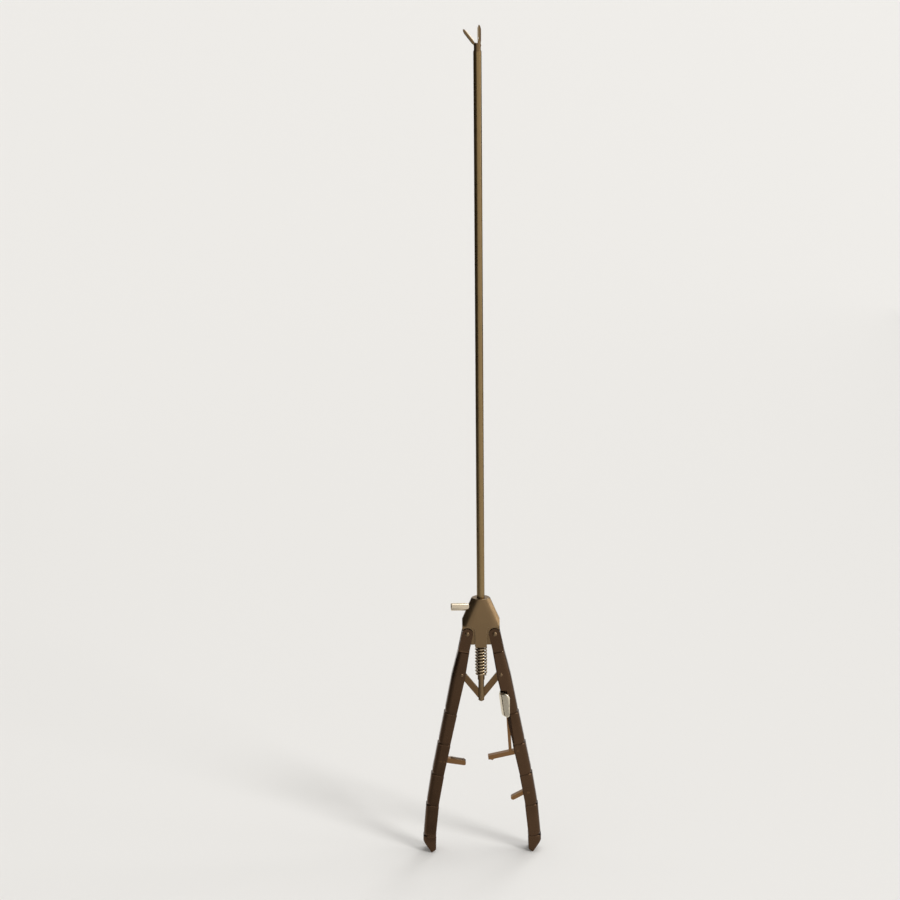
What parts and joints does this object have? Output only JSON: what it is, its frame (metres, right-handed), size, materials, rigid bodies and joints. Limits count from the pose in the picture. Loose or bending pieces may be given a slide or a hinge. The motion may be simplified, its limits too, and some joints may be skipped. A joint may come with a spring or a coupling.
{
  "type": "laparoscopic grasper",
  "caption": "Laparoscopic grasping forceps: long slim shaft, two-leg ratchet handle, one jaw that opens, flush port.",
  "frame": {"origin": "on the shaft's axis at the level of the handle's feet, the bottom centre of the part", "axes": "+Z along the shaft towards the jaws, +X from the ratchet leg to the release-lever leg, front towards -Y"},
  "size_m": [0.0774, 0.0146, 0.535],
  "materials": {
    "satin_steel": "bead-blasted satin",
    "handle_steel": "darker bead-blasted satin",
    "polished_steel": "mirror polished",
    "pin_steel": "turned and polished",
    "spring_steel": "drawn wire",
    "hard_insert": "ground, fine cross-cut",
    "seal_rubber": "matt",
    "bush_brass": "turned"
  },
  "bodies": {
    "frame": {"shaft_tube": "satin_steel", "head_block": "satin_steel", "flush_port": "polished_steel", "rod_seal": "seal_rubber", "seal_retainer": "bush_brass", "rod_guide_bush": "bush_brass", "left_pivot_pin": "pin_steel", "right_pivot_pin": "pin_steel", "fixed_jaw": "satin_steel", "fixed_jaw_insert": "hard_insert", "jaw_pivot_pin": "pin_steel", "return_spring": "spring_steel"},
    "drive_rod": {"drive_rod": "polished_steel", "rod_sleeve": "satin_steel", "rod_cross_pin": "pin_steel", "jaw_drive_pin": "pin_steel"},
    "left_link": {"left_link": "satin_steel"},
    "right_link": {"right_link": "satin_steel"},
    "left_handle": {"left_handle": "handle_steel", "left_link_pin": "pin_steel", "ratchet_rack": "satin_steel", "rack_rivets": "pin_steel"},
    "right_handle": {"right_handle": "handle_steel", "right_link_pin": "pin_steel", "release_lever_pin": "pin_steel", "release_leaf_spring": "spring_steel", "leaf_spring_rivet": "pin_steel", "switch_pin": "pin_steel"},
    "release_lever": {"release_lever": "satin_steel", "release_pad": "polished_steel", "pad_rivets": "pin_steel"},
    "ratchet_switch": {"ratchet_switch": "satin_steel"},
    "moving_jaw": {"moving_jaw": "satin_steel", "moving_jaw_insert": "hard_insert"}
  },
  "joints": [
    {"name": "left_handle_hinge", "type": "hinge", "parent": "frame", "child": "left_handle", "pos_m": [-0.00876, 0, 0.1506], "axis": [0, -1, 0], "range_deg": [0, 8.5], "stiffness_Nm_per_rad": 0.15},
    {"name": "right_handle_hinge", "type": "hinge", "parent": "frame", "child": "right_handle", "pos_m": [0.00876, 0, 0.1506], "axis": [0, 1, 0], "range_deg": [0, 8.5]},
    {"name": "drive_rod_slide", "type": "slide", "parent": "frame", "child": "drive_rod", "axis": [0, 0, -1], "range_m": [0, 0.00275], "deforming": ["return_spring"]},
    {"name": "left_link_hinge", "type": "hinge", "parent": "drive_rod", "child": "left_link", "pos_m": [0, 0, 0.10721], "axis": [0, 1, 0], "range_deg": [0, 13.41]},
    {"name": "right_link_hinge", "type": "hinge", "parent": "drive_rod", "child": "right_link", "pos_m": [0, 0, 0.10721], "axis": [0, -1, 0], "range_deg": [0, 13.41]},
    {"name": "moving_jaw_hinge", "type": "hinge", "parent": "frame", "child": "moving_jaw", "pos_m": [-0.0011, 0, 0.5231], "axis": [0, 1, 0], "range_deg": [0, 38]},
    {"name": "release_lever_hinge", "type": "hinge", "parent": "right_handle", "child": "release_lever", "pos_m": [0.0236, 0, 0.071], "axis": [0, 1, 0], "range_deg": [-1, 3], "stiffness_Nm_per_rad": 0.05},
    {"name": "ratchet_switch_hinge", "type": "hinge", "parent": "right_handle", "child": "ratchet_switch", "pos_m": [0.0302, 0, 0.0418], "axis": [0, 1, 0], "range_deg": [0, 35]}
  ],
  "couplings": [
    {"joint": "right_handle_hinge", "follows": "left_handle_hinge", "ratio": 1},
    {"joint": "drive_rod_slide", "follows": "left_handle_hinge", "m_per_rad": 0.018548},
    {"joint": "left_link_hinge", "follows": "left_handle_hinge", "ratio": 1.5781},
    {"joint": "right_link_hinge", "follows": "left_handle_hinge", "ratio": 1.5781},
    {"joint": "moving_jaw_hinge", "follows": "left_handle_hinge", "ratio": 4.4706}
  ]
}
